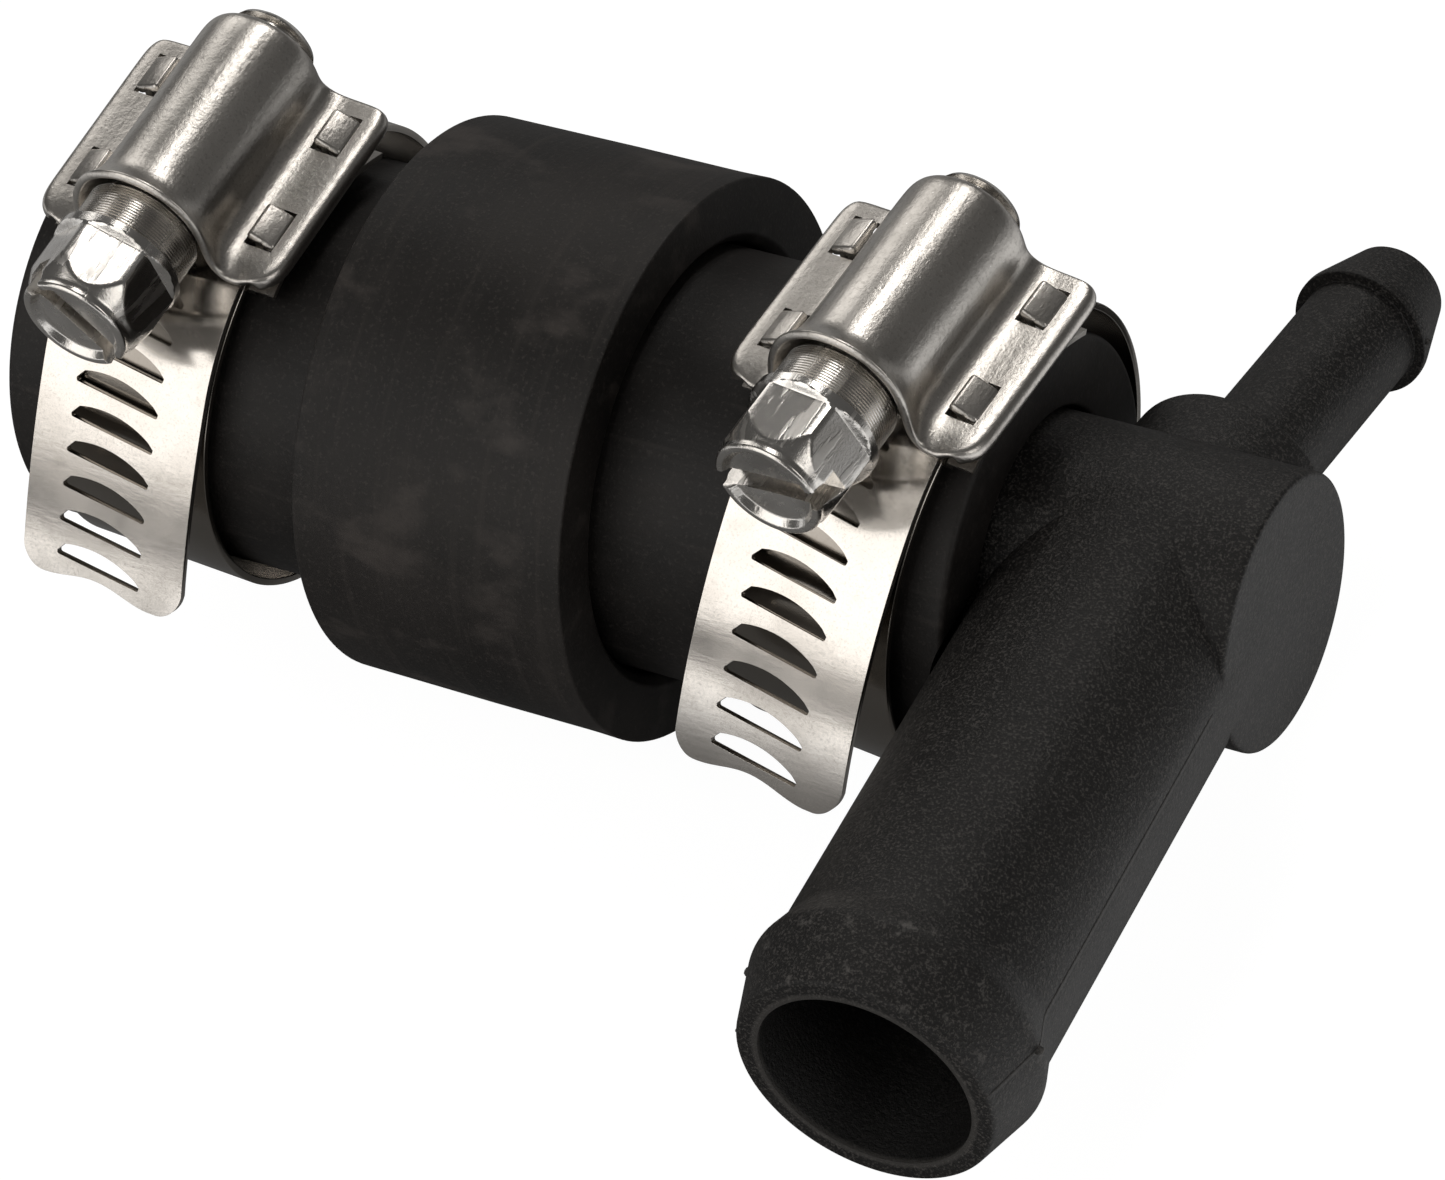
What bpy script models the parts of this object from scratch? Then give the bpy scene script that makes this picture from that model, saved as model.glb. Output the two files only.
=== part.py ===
# Rubber pipe coupling: a hose sleeve with a collar, two worm-drive band clamps and a plugged branch fitting.
# Frame: origin at the centre of the sleeve's open end, +X along the sleeve to the fitting, +Z up.
import math

import bmesh
import bpy
from mathutils import Matrix, Vector

for thing in list(bpy.data.objects):
    bpy.data.objects.remove(thing, do_unlink=True)

MM = 0.001
GAP = 0.3

# Branch fitting, millimetres
BODY_R = 9.3
BODY_END = 88.0
END_WALL = 4.0
SPIGOT_START = 48.7
SPIGOT_BORE_R = 7.1
BRANCH_X = 78.7
BRANCH_LEAN = math.radians(1.93)
BRANCH_R = 9.24
BRANCH_BORE_R = 7.16
BRANCH_TIP = 44.8
BEAD_R = 10.0
BEAD_BACK = 4.8
NIPPLE_AIM = Vector((0.0433, 0.9907, -0.1288)).normalized()
NIPPLE_R = 4.07
NIPPLE_BORE_R = 2.3
NIPPLE_TIP = 34.6
BARB_R = 4.85
BARB_BACK = 5.5
BOSS_R = 7.4
BOSS_END = 10.7

# Sleeve, whose bore takes the fitting's spigot, and the collar on it
SLEEVE_R = 14.4
SLEEVE_BORE_R = BODY_R + GAP
SLEEVE_END = 70.7
COLLAR_START = 25.3
COLLAR_END = 45.6
COLLAR_R = 19.2
COLLAR_MOUTH = 0.65

# Clamps, in each clamp's own frame: x across the band, y towards the rear, z up through the housing
LAYER_GAP = 0.22
LOOP_CLEARANCE = 1.1
LOOP_R = SLEEVE_R + LOOP_CLEARANCE
BAND_T = 0.5
BAND_HALF = 6.3
SLOT_PITCH = 2.52
SLOT_HALF = 3.3
SLOT_SHIFT = -0.3
SLOT_TILT = math.radians(7)
LAST_SLOT = 2.2
SADDLE_T = 0.38
WING_RISE = 0.9
SADDLE_HALF = 8.6
FLANGE_RISE = 2.04
FLANGE_Z = LOOP_R + FLANGE_RISE
FLANGE_HALF = 9.65
FLANGE_FRONT = -6.5
FLANGE_REAR = 9.2
SHEET_T = 0.6
ARCH_R = 4.45
SCREW_RISE = 3.9
SCREW_Z = LOOP_R + SCREW_RISE
CORE_R = 1.8
THREAD_R = 2.4
NECK_R = 3.75
NECK_LENGTH = 3.2
HEX_ACROSS = 8.0
HEX_TURN = math.radians(-38)
HEAD_FACE = -15.8
SCREW_SLOT = 1.3
TAB_IN = BAND_HALF + 0.4
TAB_REACH = 1.45
TAB_T = 0.6
TAB_FRONT = -2.7
TAB_REAR = 6.0
TAB_HALF = 1.5
TAB_GAP = 0.35
TAB_SPOTS = (TAB_FRONT, TAB_REAR)
LEFT_X = 10.5
LEFT_Y = 0.45
LEFT_Z = 0.35
LEFT_FLARE = 80.0
LEFT_FREE = 15.9
RIGHT_X = 62.7
RIGHT_Y = 0.2
RIGHT_Z = 0.4
RIGHT_FLARE = 46.0
RIGHT_FREE = 20.2

# name, middle x, y, z, yaw, lean, roll, where the tail leaves the loop, flare radius, free length, slot turn
CLAMPS = (
    ("left", LEFT_X, LEFT_Y, LEFT_Z, -2.0, 3.5, 7.0, 51.0, LEFT_FLARE, LEFT_FREE, 133.0),
    ("right", RIGHT_X, RIGHT_Y, RIGHT_Z, -5.0, 2.8, 4.2, 38.0, RIGHT_FLARE, RIGHT_FREE, 10.0),
)


def material(name, colour, metallic, roughness):
    made = bpy.data.materials.new(name)
    made.use_nodes = True
    shader = made.node_tree.nodes["Principled BSDF"]
    shader.inputs["Base Color"].default_value = (*colour, 1.0)
    shader.inputs["Metallic"].default_value = metallic
    shader.inputs["Roughness"].default_value = roughness
    made.diffuse_color = (*colour, 1.0)
    return made


RUBBER = material("rubber", (0.022, 0.021, 0.020), 0.0, 0.6)
PLASTIC = material("filled plastic", (0.026, 0.025, 0.024), 0.0, 0.5)
BAND_STEEL = material("band steel", (0.78, 0.76, 0.73), 1.0, 0.22)
SHEET_STEEL = material("housing steel", (0.62, 0.58, 0.53), 1.0, 0.32)
SCREW_STEEL = material("screw steel", (0.74, 0.72, 0.69), 1.0, 0.18)


def solid(name, points, faces, pose=None, paint=None):
    """One mesh object from points in millimetres, its faces turned outwards."""
    shape = bpy.data.meshes.new(name)
    shape.from_pydata([[value * MM for value in point] for point in points], [], faces)
    work = bmesh.new()
    work.from_mesh(shape)
    bmesh.ops.recalc_face_normals(work, faces=work.faces)
    work.to_mesh(shape)
    work.free()
    made = bpy.data.objects.new(name, shape)
    bpy.context.scene.collection.objects.link(made)
    if pose is not None:
        made.matrix_world = pose
    if paint is not None:
        shape.materials.append(paint)
        shape.shade_smooth()
        shape.set_sharp_from_angle(angle=math.radians(35))
    return made


def turned(outline, closed, sides):
    """Points and faces of an outline of (x, radius) turned about X; an open outline ends on the axis."""
    points = []
    rings = []
    for along, radius in outline:
        if radius == 0:
            rings.append([len(points)] * sides)
            points.append((along, 0.0, 0.0))
            continue
        rings.append(list(range(len(points), len(points) + sides)))
        for side in range(sides):
            turn = 2 * math.pi * side / sides
            points.append((along, radius * math.cos(turn), radius * math.sin(turn)))
    pairs = list(zip(rings, rings[1:]))
    if closed:
        pairs.append((rings[-1], rings[0]))
    faces = []
    for first, second in pairs:
        for side in range(sides):
            after = (side + 1) % sides
            face = list(dict.fromkeys((first[side], first[after], second[after], second[side])))
            if len(face) > 2:
                faces.append(face)
    return points, faces


def sheet(stations):
    """A bent sheet from stations of (outer points, inner points), each a row of points of one length."""
    row = len(stations[0][0])
    points = []
    for outer, inner in stations:
        points.extend(outer)
        points.extend(inner)
    step = 2 * row
    faces = []
    last = len(stations) - 1
    for index in range(last):
        here = index * step
        there = here + step
        for side in range(row - 1):
            faces.append((here + side, here + side + 1, there + side + 1, there + side))
            near = here + row + side
            far = there + row + side
            faces.append((near, far, far + 1, near + 1))
        faces.append((here, there, there + row, here + row))
        end = row - 1
        faces.append((here + end, here + row + end, there + row + end, there + end))
    for base in (0, last * step):
        for side in range(row - 1):
            faces.append((base + side, base + row + side, base + row + side + 1, base + side + 1))
    return points, faces


def add_prism(points, faces, outline, place):
    """Adds a closed prism: place(point, side) puts each outline point on the near (-1) and far (+1) face."""
    start = len(points)
    count = len(outline)
    for side in (-1, 1):
        points.extend(place(point, side) for point in outline)
    faces.append(tuple(start + index for index in range(count)))
    faces.append(tuple(start + count + index for index in reversed(range(count))))
    for index in range(count):
        after = (index + 1) % count
        faces.append((start + index, start + count + index, start + count + after, start + after))


def combine(target, tool, operation):
    step = target.modifiers.new(operation.lower() + " " + tool.name, "BOOLEAN")
    step.operation = operation
    step.solver = "EXACT"
    step.object = tool
    tool.hide_render = True
    tool.display_type = "WIRE"


def aim_pose(start, direction):
    """Pose that turns local X to the direction, at a start point in millimetres."""
    along = Vector(direction).normalized()
    up = Vector((0, 0, 1))
    across = up.cross(along).normalized()
    up = along.cross(across)
    turn = Matrix((along, across, up)).transposed().to_4x4()
    return Matrix.Translation(Vector(start) * MM) @ turn


# Branch fitting: a moulded elbow body with a closed end, a hose branch and a barbed nipple
MIDDLE = (BRANCH_X, 0.0, 0.0)
branch_pose = aim_pose(MIDDLE, (math.sin(BRANCH_LEAN), -math.cos(BRANCH_LEAN), 0.0))
nipple_pose = aim_pose(MIDDLE, NIPPLE_AIM)
body_line = [
    (SPIGOT_START, 0),
    (SPIGOT_START, BODY_R - 0.7),
    (SPIGOT_START + 2.0, BODY_R),
    (BODY_END - 0.5, BODY_R),
    (BODY_END - 0.15, BODY_R - 0.15),
    (BODY_END, BODY_R - 0.5),
    (BODY_END, 0),
]
bead = BRANCH_TIP - BEAD_BACK
branch_line = [
    (-1.0, 0),
    (-1.0, BRANCH_R),
    (bead - 2.4, BRANCH_R),
    (bead - 0.6, BEAD_R - 0.2),
    (bead, BEAD_R),
    (bead + 0.5, BEAD_R - 0.05),
    (BRANCH_TIP - 0.25, BRANCH_BORE_R + 1.64),
    (BRANCH_TIP, BRANCH_BORE_R + 1.39),
    (BRANCH_TIP, 0),
]
barb = NIPPLE_TIP - BARB_BACK
nipple_line = [
    (2.0, 0),
    (2.0, BOSS_R),
    (BOSS_END - 0.3, BOSS_R),
    (BOSS_END, BOSS_R - 0.3),
    (BOSS_END, NIPPLE_R + 0.33),
    (BOSS_END + 0.3, NIPPLE_R),
    (barb, NIPPLE_R),
    (barb, BARB_R),
    (barb + 0.4, BARB_R),
    (NIPPLE_TIP - 0.2, NIPPLE_BORE_R + 1.25),
    (NIPPLE_TIP, NIPPLE_BORE_R + 1.05),
    (NIPPLE_TIP, 0),
]
branch_fitting = solid("branch_fitting", *turned(body_line, False, 64), None, PLASTIC)
branch_tool = solid("branch_tool", *turned(branch_line, False, 60), branch_pose)
nipple_tool = solid("nipple_tool", *turned(nipple_line, False, 40), nipple_pose)
combine(branch_fitting, branch_tool, "UNION")
combine(branch_fitting, nipple_tool, "UNION")


def bore(name, first, second, radius, sides, pose=None):
    """A plain round cutter along local X."""
    outline = [(first, 0), (first, radius), (second, radius), (second, 0)]
    return solid(name, *turned(outline, False, sides), pose)


past = 15.0
spigot_bore = bore("spigot_bore", SPIGOT_START - past, BODY_END - END_WALL, SPIGOT_BORE_R, 44)
branch_bore = bore("branch_bore", -0.5, BRANCH_TIP + past, BRANCH_BORE_R, 46, branch_pose)
nipple_bore = bore("nipple_bore", 3.0, NIPPLE_TIP + past, NIPPLE_BORE_R, 22, nipple_pose)
for cutter in (spigot_bore, branch_bore, nipple_bore):
    combine(branch_fitting, cutter, "DIFFERENCE")

# Hose sleeve, relieved where the branch presses against its end
sleeve_line = [
    (0.0, SLEEVE_BORE_R + 0.3),
    (0.3, SLEEVE_BORE_R),
    (SLEEVE_END - 0.3, SLEEVE_BORE_R),
    (SLEEVE_END, SLEEVE_BORE_R + 0.3),
    (SLEEVE_END, SLEEVE_R - 0.4),
    (SLEEVE_END - 0.12, SLEEVE_R - 0.12),
    (SLEEVE_END - 0.4, SLEEVE_R),
    (0.4, SLEEVE_R),
    (0.12, SLEEVE_R - 0.12),
    (0.0, SLEEVE_R - 0.4),
]
hose_sleeve = solid("hose_sleeve", *turned(sleeve_line, True, 72), None, RUBBER)
relief_r = max(BODY_R, BRANCH_R) + GAP
sleeve_relief = bore("sleeve_relief", 1.0, SLEEVE_R + past, relief_r, 52, branch_pose)
combine(hose_sleeve, sleeve_relief, "DIFFERENCE")

# Collar ring on the middle of the sleeve
collar_line = [
    (COLLAR_START, SLEEVE_R + GAP + COLLAR_MOUTH),
    (COLLAR_START + COLLAR_MOUTH, SLEEVE_R + GAP),
    (COLLAR_END - COLLAR_MOUTH, SLEEVE_R + GAP),
    (COLLAR_END, SLEEVE_R + GAP + COLLAR_MOUTH),
    (COLLAR_END, COLLAR_R - 0.1),
    (COLLAR_END - 0.15, COLLAR_R + 0.05),
    (COLLAR_START + 0.25, COLLAR_R - 0.1),
    (COLLAR_START, COLLAR_R - 0.35),
]
collar_ring = solid("collar_ring", *turned(collar_line, True, 80), None, RUBBER)


def ring_spot(radius, degrees):
    """Point of the clamp's side view at an angle from the top, turning towards the front."""
    turn = math.radians(degrees)
    return -radius * math.sin(turn), radius * math.cos(turn)


def band_station(inner, outer):
    rows = []
    for spot in (outer, inner):
        rows.append([(across, spot[0], spot[1]) for across in (-BAND_HALF, BAND_HALF)])
    return rows


def slot_outline():
    """One worm slot: straight towards the tail's end, arched on the other side, tilted across the band."""
    far = SLOT_HALF
    flat = [(-far, 0.35), (-far + 0.1, 0.55), (far - 0.3, 0.6), (far, 0.4)]
    arch = []
    for share, depth in ((0.985, 0.05), (0.67, -0.35), (0.27, -0.66), (-0.18, -0.72), (-0.58, -0.5)):
        arch.append((far * share, depth))
    arch.append((-far * 0.88, -0.05))
    turned_points = []
    for across, along in flat + arch:
        turned_points.append(
            (
                across * math.cos(SLOT_TILT) - along * math.sin(SLOT_TILT) + SLOT_SHIFT,
                across * math.sin(SLOT_TILT) + along * math.cos(SLOT_TILT),
            )
        )
    return turned_points


def cut_frame(spot, heading):
    """Place function for a cutter that stands on the band: spot on the strip, heading along it."""
    normal = (heading[1], -heading[0])

    def place(point, side):
        across, along = point
        depth = 1.4 * side
        return (
            across,
            spot[0] + heading[0] * along - normal[0] * depth,
            spot[1] + heading[1] * along - normal[1] * depth,
        )

    return place


def loop_piece(name, pose):
    """Closed turn of the band, from under the housing, stepping out to pass over its own start."""
    layer = BAND_T + LAYER_GAP
    stations = []
    degrees = -12.0
    while degrees <= 338.01:
        share = min(max((degrees - 250.0) / 70.0, 0.0), 1.0)
        rise = layer * share * share * (3 - 2 * share)
        radius = LOOP_R + rise
        stations.append(band_station(ring_spot(radius, degrees), ring_spot(radius + BAND_T, degrees)))
        degrees += 5.0
    loop = solid(name, *sheet(stations), pose, BAND_STEEL)
    points = []
    faces = []
    outline = slot_outline()
    middle = LOOP_R + layer + BAND_T / 2
    step = math.degrees(SLOT_PITCH / middle)
    for index in range(4):
        at = 333.0 - step * (index + 0.5)
        turn = math.radians(at)
        add_prism(
            points,
            faces,
            outline,
            cut_frame(ring_spot(middle, at), (-math.cos(turn), -math.sin(turn))),
        )
    cutter = solid(name + "_slots", points, faces, pose)
    combine(loop, cutter, "DIFFERENCE")
    return loop


def tail_piece(name, pose, leave, flare, free):
    """Free end of the band: outer layer under the worm, then a flare with a wavy cut end."""
    inner_r = LOOP_R + BAND_T + LAYER_GAP
    middle_r = inner_r + BAND_T / 2
    path = []
    degrees = -12.0
    count = max(2, round((leave + 12.0) / 5.0))
    for index in range(count + 1):
        at = degrees + (leave - degrees) * index / count
        turn = math.radians(at)
        heading = (-math.cos(turn), -math.sin(turn))
        path.append((ring_spot(middle_r, at), heading, middle_r * math.radians(at - degrees)))
    start_spot, start_heading, start_run = path[-1]
    base = math.atan2(start_heading[1], start_heading[0])
    pieces = 9
    for index in range(1, pieces + 1):
        run = free * index / pieces
        bend = run / flare
        local = (flare * math.sin(bend), flare * (1 - math.cos(bend)))
        spot = (
            start_spot[0] + local[0] * math.cos(base) - local[1] * math.sin(base),
            start_spot[1] + local[0] * math.sin(base) + local[1] * math.cos(base),
        )
        path.append((spot, (math.cos(base + bend), math.sin(base + bend)), start_run + run))
    stations = []
    for spot, heading, run in path:
        normal = (heading[1], -heading[0])
        half = BAND_T / 2
        outer = (spot[0] + normal[0] * half, spot[1] + normal[1] * half)
        inner = (spot[0] - normal[0] * half, spot[1] - normal[1] * half)
        stations.append(band_station(outer, inner))
    tail = solid(name, *sheet(stations), pose, BAND_STEEL)

    def spot_at(run):
        for first, second in zip(path, path[1:]):
            if first[2] <= run <= second[2]:
                share = (run - first[2]) / (second[2] - first[2])
                mixed = []
                for part in (0, 1):
                    mixed.append(tuple(a + (b - a) * share for a, b in zip(first[part], second[part])))
                return mixed
        return path[-1][0], path[-1][1]

    points = []
    faces = []
    outline = slot_outline()
    total = path[-1][2]
    run = total - LAST_SLOT
    while run > 3.0:
        spot, heading = spot_at(run)
        add_prism(points, faces, outline, cut_frame(spot, heading))
        run -= SLOT_PITCH
    edge = BAND_HALF
    end_line = [(-edge - 1.2, 0.2), (-edge, -1.7), (-edge + 0.7, -1.0), (-edge + 1.9, -0.75), (-2.4, -1.05)]
    end_line += [(-0.4, -0.95), (1.6, -0.35), (edge - 3.1, -0.1), (edge - 1.5, -0.15), (edge - 0.6, -0.5)]
    end_line += [(edge, -1.2), (edge + 1.2, 0.4), (edge + 1.2, 3.0), (-edge - 1.2, 3.0)]
    spot, heading = path[-1][0], path[-1][1]
    add_prism(points, faces, end_line, cut_frame(spot, heading))
    cutter = solid(name + "_slots", points, faces, pose)
    combine(tail, cutter, "DIFFERENCE")
    return tail


def housing_row(arch, foot, reach, drop):
    """Right half of the housing's outer line from the arch top to the flange rim, as (x, z)."""
    row = []
    for index in range(7):
        turn = math.radians(90 - 15 * index)
        row.append((arch * math.cos(turn), SCREW_Z - drop + arch * math.sin(turn)))
    row.append((arch + 0.06, FLANGE_Z + 1.21 - drop * 0.4))
    row.append((arch + 0.28 + foot * 0.4, FLANGE_Z + 0.61))
    row.append((arch + 0.8 + foot, FLANGE_Z + 0.24))
    row.append((arch + 1.6 + foot, FLANGE_Z + 0.1))
    row.append((BAND_HALF + 0.7, FLANGE_Z))
    row.append((reach - 0.75, FLANGE_Z - 0.29))
    row.append((reach - 0.25, FLANGE_Z - 0.54))
    row.append((reach, FLANGE_Z - 1.14))
    return row


def inset(row, depth):
    """The row moved inwards by a sheet's thickness, normal to itself."""
    moved = []
    for index, spot in enumerate(row):
        before = row[max(index - 1, 0)]
        after = row[min(index + 1, len(row) - 1)]
        if index == 0:
            along = (1.0, 0.0)
        else:
            length = math.hypot(after[0] - before[0], after[1] - before[1])
            along = ((after[0] - before[0]) / length, (after[1] - before[1]) / length)
        moved.append((spot[0] + along[1] * depth, spot[1] - along[0] * depth))
    return moved


def housing_piece(name, pose):
    """Pressed arch over the worm with a belled mouth in front and two slotted flanges."""
    plan = (
        (FLANGE_FRONT - 0.35, ARCH_R + 1.15, 0.0, FLANGE_HALF - 1.3, 0.0),
        (FLANGE_FRONT, ARCH_R + 0.85, 0.1, FLANGE_HALF - 0.7, 0.0),
        (FLANGE_FRONT + 0.7, ARCH_R + 0.3, 0.2, FLANGE_HALF - 0.15, 0.0),
        (FLANGE_FRONT + 1.6, ARCH_R, 0.25, FLANGE_HALF, 0.0),
        (0.0, ARCH_R, 0.25, FLANGE_HALF, 0.0),
        (FLANGE_REAR - 2.2, ARCH_R, 0.25, FLANGE_HALF, 0.0),
        (FLANGE_REAR - 0.7, ARCH_R - 0.05, 0.25, FLANGE_HALF - 0.1, 0.05),
        (FLANGE_REAR, ARCH_R - 0.3, 0.3, FLANGE_HALF - 0.6, 0.15),
    )
    stations = []
    for along, arch, foot, reach, drop in plan:
        half = housing_row(arch, foot, reach, drop)
        under = inset(half, SHEET_T)
        rows = []
        for line in (half, under):
            left = [(-x, along, z) for x, z in reversed(line[1:])]
            right = [(x, along, z) for x, z in line]
            rows.append(left + right)
        stations.append(rows)
    housing = solid(name, *sheet(stations), pose, SHEET_STEEL)
    points = []
    faces = []
    for side in (-1, 1):
        for middle in TAB_SPOTS:
            near = TAB_IN - TAB_GAP
            far = TAB_IN + TAB_REACH - 0.2
            half = TAB_HALF + TAB_GAP
            outline = [(near, -half), (far, -half), (far, half), (near, half)]

            def place(point, level, side=side, middle=middle):
                return side * point[0], middle + point[1], FLANGE_Z + 2.0 * level

            add_prism(points, faces, outline, place)
    cutter = solid(name + "_slots", points, faces, pose)
    combine(housing, cutter, "DIFFERENCE")
    return housing


def saddle_piece(name, pose):
    """Curved plate between band and sleeve, with four tabs bent over the housing's flanges."""
    outer_r = LOOP_R - LAYER_GAP
    inner_r = outer_r - SADDLE_T
    across_line = ((-SADDLE_HALF, WING_RISE), (-TAB_IN, WING_RISE), (-BAND_HALF - 0.15, 0.0))
    across_line += tuple((-across, rise) for across, rise in reversed(across_line))
    stations = []
    for index in range(11):
        degrees = 22.0 - 5.0 * index
        rows = []
        for radius in (outer_r, inner_r):
            row = []
            for across, rise in across_line:
                row.append((across, *ring_spot(radius + rise, degrees)))
            rows.append(row)
        stations.append(rows)
    saddle = solid(name, *sheet(stations), pose, SHEET_STEEL)
    points = []
    faces = []
    middle_r = (outer_r + inner_r) / 2 + WING_RISE
    for side in (-1, 1):
        for middle in TAB_SPOTS:
            low = FLANGE_Z + 0.28
            tip = TAB_IN + TAB_REACH
            outline = [(TAB_IN, 0), (TAB_IN + TAB_T, 0), (TAB_IN + TAB_T, low), (tip, low - 0.15)]
            outline += [(tip, low + 0.3), (tip - 0.2, low + 0.5)]
            outline += [(TAB_IN + 0.2, low + 0.65), (TAB_IN, low + 0.5)]

            def place(point, end, side=side, middle=middle):
                along = middle + TAB_HALF * end
                height = point[1]
                if height == 0:
                    height = math.sqrt(middle_r**2 - along**2)
                return side * point[0], along, height

            add_prism(points, faces, outline, place)
    tabs = solid(name + "_tabs", points, faces, pose)
    combine(saddle, tabs, "UNION")
    return saddle


def screw_piece(name, pose, slot_turn):
    """Hex-headed worm screw lying along the clamp's y axis, with a screwdriver slot in its face."""
    sides = 24
    rings = []

    def add_ring(along, radius_of):
        turns = [2 * math.pi * k / sides for k in range(sides)]
        rings.append([(along, turn, radius_of(turn)) for turn in turns])

    def plain(radius):
        return lambda turn: radius

    def hexagon(most):
        def radius_of(turn):
            part = math.fmod(turn, math.pi / 3) - math.pi / 6
            return min(HEX_ACROSS / 2 / math.cos(part), most)

        return radius_of

    add_ring(FLANGE_REAR + 0.9, plain(1.7))
    add_ring(FLANGE_REAR + 0.6, plain(2.1))
    add_ring(FLANGE_REAR - 0.6, plain(2.1))
    along = FLANGE_REAR - 0.9
    pitch = SLOT_PITCH
    while along > FLANGE_FRONT + 1.5:
        ends = min(FLANGE_REAR - 0.6 - along, along - FLANGE_FRONT - 0.9, 1.0)

        def thread(turn, along=along, ends=ends):
            phase = math.fmod(along / pitch + turn / (2 * math.pi) + 20, 1.0)
            wave = 0.5 + 0.5 * math.cos(2 * math.pi * phase)
            return CORE_R + (THREAD_R - CORE_R) * ends * min(1.0, max(0.0, wave * 1.6 - 0.3))

        add_ring(along, thread)
        along -= pitch / 7
    neck_end = FLANGE_FRONT - NECK_LENGTH
    add_ring(FLANGE_FRONT + 0.4, plain(CORE_R))
    add_ring(FLANGE_FRONT + 0.3, plain(NECK_R - 0.35))
    add_ring(FLANGE_FRONT, plain(NECK_R))
    add_ring(neck_end, plain(NECK_R))
    add_ring(neck_end - 0.15, plain(NECK_R + 0.18))
    add_ring(neck_end - 0.6, plain(NECK_R + 0.18))
    add_ring(neck_end - 0.85, hexagon(NECK_R + 0.12))
    add_ring(neck_end - 1.5, hexagon(HEX_ACROSS))
    add_ring(HEAD_FACE + 0.75, hexagon(HEX_ACROSS))
    add_ring(HEAD_FACE + 0.2, hexagon(NECK_R + 0.1))
    add_ring(HEAD_FACE, hexagon(NECK_R - 0.5))
    points = []
    faces = []
    for ring in rings:
        for along, turn, radius in ring:
            across = radius * math.sin(turn + HEX_TURN)
            points.append((across, along, SCREW_Z + radius * math.cos(turn + HEX_TURN)))
    for index in range(len(rings) - 1):
        for side in range(sides):
            after = (side + 1) % sides
            here = index * sides
            there = here + sides
            faces.append((here + side, here + after, there + after, there + side))
    faces.append(tuple(range(sides)))
    base = (len(rings) - 1) * sides
    faces.append(tuple(base + side for side in range(sides)))
    screw = solid(name, points, faces, pose, SCREW_STEEL)
    points = []
    faces = []
    turn = math.radians(slot_turn)
    half = SCREW_SLOT / 2
    outline = [(-HEX_ACROSS, -half), (HEX_ACROSS, -half), (HEX_ACROSS, half), (-HEX_ACROSS, half)]

    def place(point, end):
        across = point[0] * math.cos(turn) - point[1] * math.sin(turn)
        height = point[0] * math.sin(turn) + point[1] * math.cos(turn)
        return across, HEAD_FACE - 0.1 + 1.4 * end, SCREW_Z + height

    add_prism(points, faces, outline, place)
    cutter = solid(name + "_slot", points, faces, pose)
    combine(screw, cutter, "DIFFERENCE")
    return screw


for side, middle_x, middle_y, middle_z, yaw, lean, roll, leave, flare, free, slot_turn in CLAMPS:
    turn = (
        Matrix.Rotation(math.radians(yaw), 4, "Z")
        @ Matrix.Rotation(math.radians(lean), 4, "Y")
        @ Matrix.Rotation(math.radians(roll), 4, "X")
    )
    clamp_pose = Matrix.Translation(Vector((middle_x, middle_y, middle_z)) * MM) @ turn
    loop_piece(side + "_band_loop", clamp_pose)
    tail_piece(side + "_band_tail", clamp_pose, leave, flare, free)
    housing_piece(side + "_housing", clamp_pose)
    saddle_piece(side + "_saddle", clamp_pose)
    screw_piece(side + "_screw", clamp_pose, slot_turn)
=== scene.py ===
import math

import bpy
from mathutils import Matrix, Vector


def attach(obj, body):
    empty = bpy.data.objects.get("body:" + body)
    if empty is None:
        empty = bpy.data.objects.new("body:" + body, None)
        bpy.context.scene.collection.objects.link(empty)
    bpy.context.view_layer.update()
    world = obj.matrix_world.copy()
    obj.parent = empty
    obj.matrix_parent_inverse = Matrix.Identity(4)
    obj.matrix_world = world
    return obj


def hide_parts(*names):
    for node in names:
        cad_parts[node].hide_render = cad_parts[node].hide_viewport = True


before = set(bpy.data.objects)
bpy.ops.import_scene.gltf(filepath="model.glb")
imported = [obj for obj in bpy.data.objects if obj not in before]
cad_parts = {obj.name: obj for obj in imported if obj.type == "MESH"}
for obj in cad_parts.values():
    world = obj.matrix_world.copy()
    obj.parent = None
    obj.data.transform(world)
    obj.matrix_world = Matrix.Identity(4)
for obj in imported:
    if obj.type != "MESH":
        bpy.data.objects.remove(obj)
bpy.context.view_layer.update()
mm = 0.001
weldGap = 1e-6  # metres
nearHalf = 0.49  # share of a side that one round-over may take
print("frame loaded, nodes:", len(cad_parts))


# small modelling helpers

def startFresh():
    if bpy.context.object and bpy.context.object.mode != "OBJECT":
        bpy.ops.object.mode_set(mode="OBJECT")
    bpy.ops.object.select_all(action="DESELECT")


def makeActive(piece):
    startFresh()
    piece.select_set(True)
    bpy.context.view_layer.objects.active = piece


def settle(piece, pose=None):  # puts the piece's place into its mesh
    makeActive(piece)
    if pose is not None:
        piece.matrix_world = pose @ piece.matrix_world
    bpy.ops.object.transform_apply(location=True, rotation=True, scale=True)


def finishMesh(piece):  # merge doubles, then turn every face outwards
    makeActive(piece)
    bpy.ops.object.mode_set(mode="EDIT")
    bpy.ops.mesh.select_all(action="SELECT")
    bpy.ops.mesh.remove_doubles(threshold=weldGap)
    bpy.ops.mesh.normals_make_consistent(inside=False)
    bpy.ops.object.mode_set(mode="OBJECT")


def smoothBy(piece, degrees=30):
    makeActive(piece)
    bpy.ops.object.shade_smooth_by_angle(angle=math.radians(degrees))


def carve(piece, tool, operation="DIFFERENCE"):
    makeActive(piece)
    step = piece.modifiers.new("carve", "BOOLEAN")
    step.operation = operation
    step.solver = "EXACT"
    step.object = tool
    bpy.ops.object.modifier_apply(modifier=step.name)
    bpy.data.objects.remove(tool, do_unlink=True)


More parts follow.
